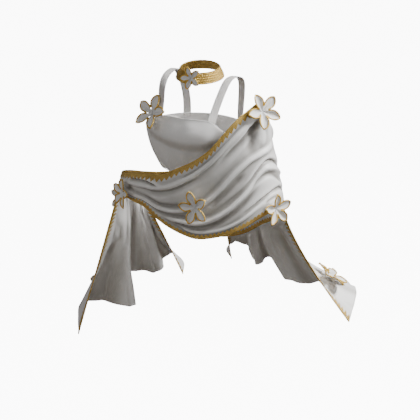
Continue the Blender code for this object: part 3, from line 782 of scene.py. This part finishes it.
def tail_relief(name, s, t):
    s, t = np.broadcast_arrays(np.asarray(s, float), np.asarray(t, float))
    out = np.zeros(s.shape)
    for _, high, half, rows in TAIL_FOLDS[name]:
        rows = np.array(rows, float)
        at = curve(rows[:, 0], rows[:, 1], np.clip(t, rows[0, 0], rows[-1, 0]))
        x = np.clip(np.abs(s - at) / (half * (1.35 - .35 * t)), 0, 1)
        first, last = rows[0, 0], rows[-1, 0]
        ends = (smooth((t - first) / .14 + (first < .01)) * smooth((last - t) / .14 + (last > .99)))
        out += high * (1 - x) ** 2 * (1 + 2 * x) * ends * (.45 + .55 * smooth(t / .45))
    return out * smooth(s / .05) * smooth((1 - s) / .05) * smooth(t / .06)


def tail_skin(name, hem, top, s, t, out=0.0):
    s, t = np.broadcast_arrays(np.asarray(s, float), np.asarray(t, float))
    p = tail_point(hem, top, s, t)
    e = 1e-3
    du = tail_point(hem, top, np.clip(s + e, 0, 1), t) - tail_point(hem, top, np.clip(s - e, 0, 1), t)
    dv = tail_point(hem, top, s, np.clip(t + e, 0, 1)) - tail_point(hem, top, s, np.clip(t - e, 0, 1))
    n = np.cross(dv, du)
    n /= np.linalg.norm(n, axis=-1, keepdims=True) + 1e-12
    return p + n * (tail_relief(name, s, t) + out)[..., None]


def tail_inset(name, hem, top, t, widths, edge):
    """Share of s at several distances in from an edge, row by row."""
    line = tail_point(hem, top, np.full(700, float(edge)), np.linspace(0, 1, 700))
    fine = np.linspace(0, .28, 150)
    at = []
    for row in t:
        p = tail_point(hem, top, abs(edge - fine), np.full(fine.shape, row))
        far = np.linalg.norm(p[:, None] - line[None], axis=-1).min(axis=1)
        far = np.maximum.accumulate(far) + np.arange(len(far)) * 1e-9
        at.append(abs(edge - np.interp(widths, far, fine)))
    return np.array(at)


def build_tails():
    for name, hem, top in (("tail_right", TAIL_RIGHT, TAIL_RIGHT_TOP), ("tail_left", TAIL_LEFT, TAIL_LEFT_TOP)):
        s, t = np.linspace(0, 1, 300)[None, :], np.linspace(0, 1, 120)[:, None]
        grid = tail_skin(name, hem, top, s, t)
        depth = tail_relief(name, s, t)
        # painted shade: the seen face's fold valleys darker and its ridges a little lighter, and the cloth darker
        # towards the hem
        near = depth * (1 if name == "tail_right" else -1)
        fold = .86 + np.clip(near * 60, -.52, .14) - .10 * smooth((t - .55) / .45)
        cloth = own(grid_sheet(name + "_cloth", grid, "tail", fold=np.clip(fold, 0, 1).ravel()), "satin", name)
        for edge, end in ((0, "front"), (1, "back")):
            rows = 340
            t = np.linspace(0, 1, rows)
            line = tail_skin(name, hem, top, np.full(rows, float(edge)), t)
            run = np.concatenate([[0], np.cumsum(np.linalg.norm(np.diff(line, axis=0), axis=1))])
            count = max(3, round(run[-1] / .0118))
            reach = (.0042 + .0125 * tooth(run / run[-1] * count, .9)) if edge == 0 else (.0030 + .0070 * tooth(run / run[-1] * count, .9))
            cols = 7
            widths = np.linspace(0, 1, 30) * .0170
            at = tail_inset(name, hem, top, t, widths, edge)
            v = np.linspace(0, 1, cols)
            place = np.array([np.interp(v * r, widths, a if edge == 0 else a) for r, a in zip(reach, at)])
            parts = []
            for side in (1, -1):
                out = side * (.0010 + .0005 * (1 - v) ** .5)[None, :]
                g = tail_skin(name, hem, top, place, t[:, None] + 0 * place, out + 0 * place)
                f = net(rows, cols)
                flip = (side > 0) == (edge == 0)
                uv = np.stack([np.broadcast_to(run[:, None], place.shape), v[None, :] * reach[:, None]], -1).reshape(-1, 2)
                parts.append((g.reshape(-1, 3), f if flip else f[:, ::-1], uv))
            parts.append(tube(line, .0014, 7))
            pts, faces, uv = gather(parts)
            own(make(f"{name}_braid_{end}", pts, faces, "braid", uv), "gold_braid", f"{name}_trim_{end}")


# ---------------------------------------------------------------- bodice and straps


def bodice_skin(deg, z):
    """The bodice with the cloth stepping in below the bust line."""
    a = np.radians(deg)
    s = curve(-BODICE[:, 0], BODICE[:, 1:], -z)
    deep = np.where(np.sin(a) < 0, s[..., 1], s[..., 2])
    p = np.stack([s[..., 0] * np.cos(a), deep * np.sin(a), z], -1)
    d = np.asarray(deg, float) % 360
    line = curve(BUST_FOLD[:, 0], BUST_FOLD[:, 1], np.clip(d, 200, 340)) - .003 - .005 * smooth((d - 235) / 60)
    side = smooth(np.minimum(d - 205, 350 - d) / 30)
    under = line - z
    push = .0085 * smooth((under + .016) / .034) * (1 - .60 * smooth((under - .010) / .075))
    full = .0022 * bump((under + .030) / .030)
    return p - outward(a, s[..., 0], deep) * ((push - full) * side)[..., None], under * np.where(side > 0, 1, 0) + np.where(side > 0, 0, 1), side


def build_bodice():
    for name, a, b in (("bodice_back", 0.05, 179.95), ("bodice_front", 180.05, 359.95)):
        deg = np.linspace(a, b, 200)[None, :]
        t = np.linspace(0, 1, 90)[:, None]
        top = bodice_top(deg)
        z = top + (BODICE_HEM_Z - top) * t
        grid, below, side = bodice_skin(deg + 0 * t, z)
        ang = np.radians(deg) + 0 * t
        soft = .0009 * np.sin(ang * 9 + 1.3) * np.sin(t * 7 + .6) + .0006 * np.sin(ang * 17 + 5 * t)
        flat = np.stack([np.cos(ang), np.sin(ang), 0 * ang], -1)
        grid = grid + flat * (soft * smooth(t / .12))[..., None]
        # painted shade: darker under the bust line and towards the hem
        under = bump((below - .004) / .028) * smooth(side / .5)
        fold = .94 - .58 * under - .12 * smooth((t - .45) / .5)
        own(grid_sheet(name + "_cloth", grid, "bodice", fold=np.clip(fold, 0, 1).ravel(), thick=.0011), "satin", name)
    deg = np.linspace(0, 360, 420, endpoint=False)
    edge = bodice_point(deg, bodice_top(deg))
    pts, faces, uv = tube(edge, .0013, 8, closed=True)
    roll = own(make("bodice_edge_roll", pts, faces, "bodice", uv, np.full(len(pts), .95)), "satin")
    hem = bodice_point(deg, np.full(deg.shape, BODICE_HEM_Z + .0004))
    pts, faces, uv = tube(hem, .0010, 7, closed=True)
    # the hem roll's lower fold value paints it darker than the edge roll, as shade under the hem
    under = own(make("bodice_hem_roll", pts, faces, "bodice", uv, np.full(len(pts), .60)), "satin")


def build_straps():
    across = np.linspace(-.5, .5, 15)
    for name, line in (("strap_left", STRAP_LEFT), ("strap_right", STRAP_RIGHT)):
        front, back = STRAP_FEET[name]
        sign = 1 if name == "strap_left" else -1
        mid = [bodice_point(np.array([d]), bodice_top(np.array([d])))[0] for d in (front, back)]
        full = np.vstack([mid[0], line, mid[1]])
        n = len(full)
        q = np.linspace(0, n - 1, 190)
        path = curve(np.arange(n), full, q)
        way = np.gradient(path, axis=0)
        way /= np.linalg.norm(way, axis=1, keepdims=True)
        f = q / (n - 1)
        lean = np.radians(25 * (1 - f) - 23 * f) * sign
        side = np.stack([np.cos(lean), np.sin(lean), 0 * lean], -1)
        half = math.degrees(STRAP_W / .123)
        for end, deg, turn in ((0, front, 1), (-1, back, -1)):
            at = deg + turn * np.array([-.5, .5]) * half
            foot = bodice_point(at, bodice_top(at))
            aim = foot[1] - foot[0]
            aim /= np.linalg.norm(aim)
            w = smooth(1 - (q if end == 0 else (n - 1) - q) / 1.6)[:, None]
            side = side * (1 - w) + aim * w
        side -= way * (side * way).sum(1, keepdims=True)
        side /= np.linalg.norm(side, axis=1, keepdims=True)
        up = np.cross(way, side)
        # each end is sewn inside the bodice, 7 mm down
        tuck = []
        for p, s, deg in ((path[0], side[0], front), (path[-1], side[-1], back)):
            a = math.radians(deg)
            inward = -np.array([math.cos(a), math.sin(a), 0])
            tuck.append([(p + inward * .0012 + np.array([0, 0, -d]) + across[:, None] * STRAP_W * s) for d in (.007, .0035)])
        crown = .0006 * (1 - (2 * across) ** 2)
        flat = path[:, None] + across[None, :, None] * STRAP_W * side[:, None] + (up[:, None] * np.sign(up[95, 2])) * crown[None, :, None]
        grid = np.vstack([np.array(tuck[0]), flat[1:-1], np.array(tuck[1])[::-1]])
        tape = own(grid_sheet(name + "_tape", grid, "rib", thick=.0014), "ribbed_tape", name)


# ---------------------------------------------------------------- choker


def build_choker():
    beads, per, rows = 50, 12, 34
    n = beads * per
    deg = np.linspace(0, 360, n, endpoint=False)[None, :]
    v = np.linspace(0, 1, rows)[:, None]
    x = deg / 360 * beads
    y = v * 4.5
    # rows of slanting knots, each row half a knot along from the one above
    a = x + .5 * y
    b = y
    knot = (.5 + .5 * np.cos(2 * math.pi * (a - .18 * np.sin(2 * math.pi * b)))) * (.5 + .5 * np.cos(2 * math.pi * (b - .5)))
    strand = .5 + .5 * np.cos(2 * math.pi * (a + .35 * b))
    high = .0021 * knot ** .6 + .0003 * strand
    rim = smooth(v / .05) * smooth((1 - v) / .05)
    parts = []
    slope = math.atan2(CHOKER_LOW_R - CHOKER_TOP_R, CHOKER_H)
    ang = np.radians(deg) + 0 * v
    normal = np.stack([np.cos(ang) * math.cos(slope), np.sin(ang) * math.cos(slope), np.full(ang.shape, math.sin(slope))], -1)
    base = choker_point(deg + 0 * v, v + 0 * deg)
    outer = base + normal * (.0004 + high * rim)[..., None]
    inner = base - normal * (.0004 + high * rim * .7)[..., None]
    uv = np.stack([np.broadcast_to(deg / 360 * .37, ang.shape), np.broadcast_to(v * .026, ang.shape)], -1).reshape(-1, 2)
    f = net(rows, n, ring=True)
    parts += [(outer.reshape(-1, 3), f, uv), (inner.reshape(-1, 3), f[:, ::-1], uv)]
    d = np.linspace(0, 360, 500, endpoint=False)
    for t in (0.0, 1.0):
        cord = choker_point(d, np.full(d.shape, t))
        parts.append(tube(cord, .0015, 8, closed=True))
    pts, faces, uv = gather(parts)
    own(make("choker_braid_band", pts, faces, "choker", uv), "gold_choker", "choker_band")


# ---------------------------------------------------------------- flowers
# one petal: share of its length, half width as a share of the widest
PETAL_WIDE = np.array([(0, .16), (.10, .33), (.24, .60), (.40, .88), (.54, 1.0), (.68, .95), (.82, .73), (.93, .42), (1.0, .06)])


def flower_frame(facing):
    n = np.array(facing, float)
    n /= np.linalg.norm(n)
    up = np.array([0, 0, 1.0]) - n * n[2]
    up /= np.linalg.norm(up)
    return n, up, np.cross(up, n)


def flower_place(cloth, a, b):
    a, b = np.array(float(a)), np.array(float(b))
    if cloth == "sash":
        return sash_point(a, b)
    if cloth == "bodice":
        return bodice_point(a, b)
    if cloth == "choker":
        return choker_point(a, b)
    hem, top = (TAIL_LEFT, TAIL_LEFT_TOP) if cloth == "tail_left" else (TAIL_RIGHT, TAIL_RIGHT_TOP)
    return tail_point(hem, top, a, b)


def build_flowers():
    for index, (name, cloth, a, b, facing, spin, reach, lift) in enumerate(FLOWERS):
        n, up, side = flower_frame(facing)
        centre = flower_place(cloth, a, b) + n * lift
        rows, cols = 17, 11
        petals, rims = [], []
        rng = np.random.default_rng(40 + index)
        for petal in range(5):
            ang = math.radians(spin + 72 * petal)
            out = side * math.cos(ang) + up * math.sin(ang)
            across = -side * math.sin(ang) + up * math.cos(ang)
            u = np.linspace(0, 1, rows)[:, None]
            v = np.linspace(-1, 1, cols)[None, :]
            wide = curve(PETAL_WIDE[:, 0], PETAL_WIDE[:, 1], u) * reach * .250
            r = reach * PETAL_LEAN_COS * (.005 + .995 * u)
            cup = .125 * reach * (v ** 2) * np.sin(np.pi * np.clip(u * .9 + .05, 0, 1)) - .018 * reach * np.exp(-(v / .16) ** 2) * (1 - u)
            bend = .030 * reach * np.sin(np.pi * u) * rng.uniform(-.6, 1.0)
            high = PETAL_RISE * r + cup + bend
            tilt = .06 * reach * rng.uniform(-1, 1) * v * np.sin(np.pi * u * .5)
            p = centre + out * r[..., None] + across * (wide * v)[..., None] + n * (high + tilt)[..., None]
            uv = np.stack([np.broadcast_to(wide * v, p.shape[:2]), np.broadcast_to(r, p.shape[:2])], -1).reshape(-1, 2)
            # painted shade: darker along each petal's middle crease, towards the centre and on one side
            fold = .84 - .42 * np.exp(-(v / .22) ** 2) * (1 - .55 * u) - .22 * (1 - u) ** 2 - .20 * v
            petals.append((p, uv, fold))
            ring = np.vstack([p[4:, 0], p[-1, 1:], p[-2:3:-1, -1]])
            rims.append(tube(ring, .0019 * (reach / .045) ** .5, 6))
        pts = np.vstack([p.reshape(-1, 3) for p, _, _ in petals])
        faces = np.vstack([net(rows, cols) + k * rows * cols for k in range(5)])
        ob = make(name + "_petals", pts, faces, "petal", np.vstack([w for _, w, _ in petals]), np.concatenate([f.ravel() for _, _, f in petals]), .0008)
        own(ob, "petal_satin", name)
        pts, faces, uv = gather(rims)
        rim = own(make(name + "_rims", pts, faces, "rim", uv), "gold_braid")
        side = 2 * reach


sash = build_sash()
sash_braids = build_sash_braids()
build_tails()
build_bodice()
build_straps()
build_choker()
build_flowers()

# ---------------------------------------------------------------- studio


def plain_floor():
    k = Nodes("floor")
    place = k.add("ShaderNodeTexCoord").outputs["Object"]
    tone = k.ramp(k.noise(place, 1.2, 2), [(.2, (.96, .96, .96)), (.8, (1.0, 1.0, 1.0))])
    k.join(tone, k.b.inputs["Base Color"])
    k.join(tone, k.b.inputs["Emission Color"])
    k.b.inputs["Emission Strength"].default_value = 10.0
    k.b.inputs["Roughness"].default_value = .9
    k.b.inputs["Specular IOR Level"].default_value = .1
    return k.m


# a wide plain floor that turns up into a plain wall far away; it lights nothing
ROUND = np.linspace(0, 2 * math.pi, 96, endpoint=False)
SECTION = [(.01, 0), (8, 0), (18, 0), (24, .8), (28, 4), (30, 10), (30, 40)]
floor_grid = np.array([[(r * math.cos(a), r * math.sin(a), FLOOR_Z + h) for a in ROUND] for r, h in SECTION])
floor_mesh = bpy.data.meshes.new("floor")
floor_mesh.from_pydata(floor_grid.reshape(-1, 3).tolist(), [], net(len(SECTION), len(ROUND), ring=True).tolist() + [list(range(len(ROUND)))])
floor_mesh.shade_smooth()
floor_mesh.materials.append(plain_floor())
floor = bpy.data.objects.new("floor", floor_mesh)
bpy.context.scene.collection.objects.link(floor)
floor.visible_diffuse = floor.visible_glossy = floor.visible_shadow = floor.visible_transmission = False


def area_light(name, way, distance, size, power, colour=(1, 1, 1)):
    """Round soft light aimed at the middle of the object, from a direction."""
    way = Vector(way).normalized()
    middle = Vector((0, 0, -.33))
    data = bpy.data.lights.new(name, "AREA")
    data.shape = "DISK"
    data.size = size
    data.energy = power
    data.color = colour
    ob = bpy.data.objects.new(name, data)
    ob.location = middle + way * distance
    ob.rotation_mode = "QUATERNION"
    ob.rotation_quaternion = (-way).to_track_quat("-Z", "Y")
    bpy.context.scene.collection.objects.link(ob)
    return ob


area_light("key", (.66, .26, .71), 3.2, 1.0, 215)
area_light("front_fill", (-.45, -.82, .36), 3.6, 1.8, 22)
area_light("right_fill", (.95, -.20, .20), 3.6, 1.5, 22)

world = bpy.data.worlds.new("studio")
world.use_nodes = True
wt = world.node_tree
coords = wt.nodes.new("ShaderNodeTexCoord")
split = wt.nodes.new("ShaderNodeSeparateXYZ")
height = wt.nodes.new("ShaderNodeMapRange")
height.inputs["From Min"].default_value = -1
blend = wt.nodes.new("ShaderNodeValToRGB")
blend.color_ramp.elements[0].color = (.58, .50, .41, 1)
blend.color_ramp.elements[1].color = (1, 1, 1, 1)
wt.links.new(coords.outputs["Generated"], split.inputs[0])
wt.links.new(split.outputs["Z"], height.inputs["Value"])
wt.links.new(height.outputs["Result"], blend.inputs["Fac"])
wt.links.new(blend.outputs["Color"], wt.nodes["Background"].inputs["Color"])
wt.nodes["Background"].inputs["Strength"].default_value = .20
bpy.context.scene.world = world
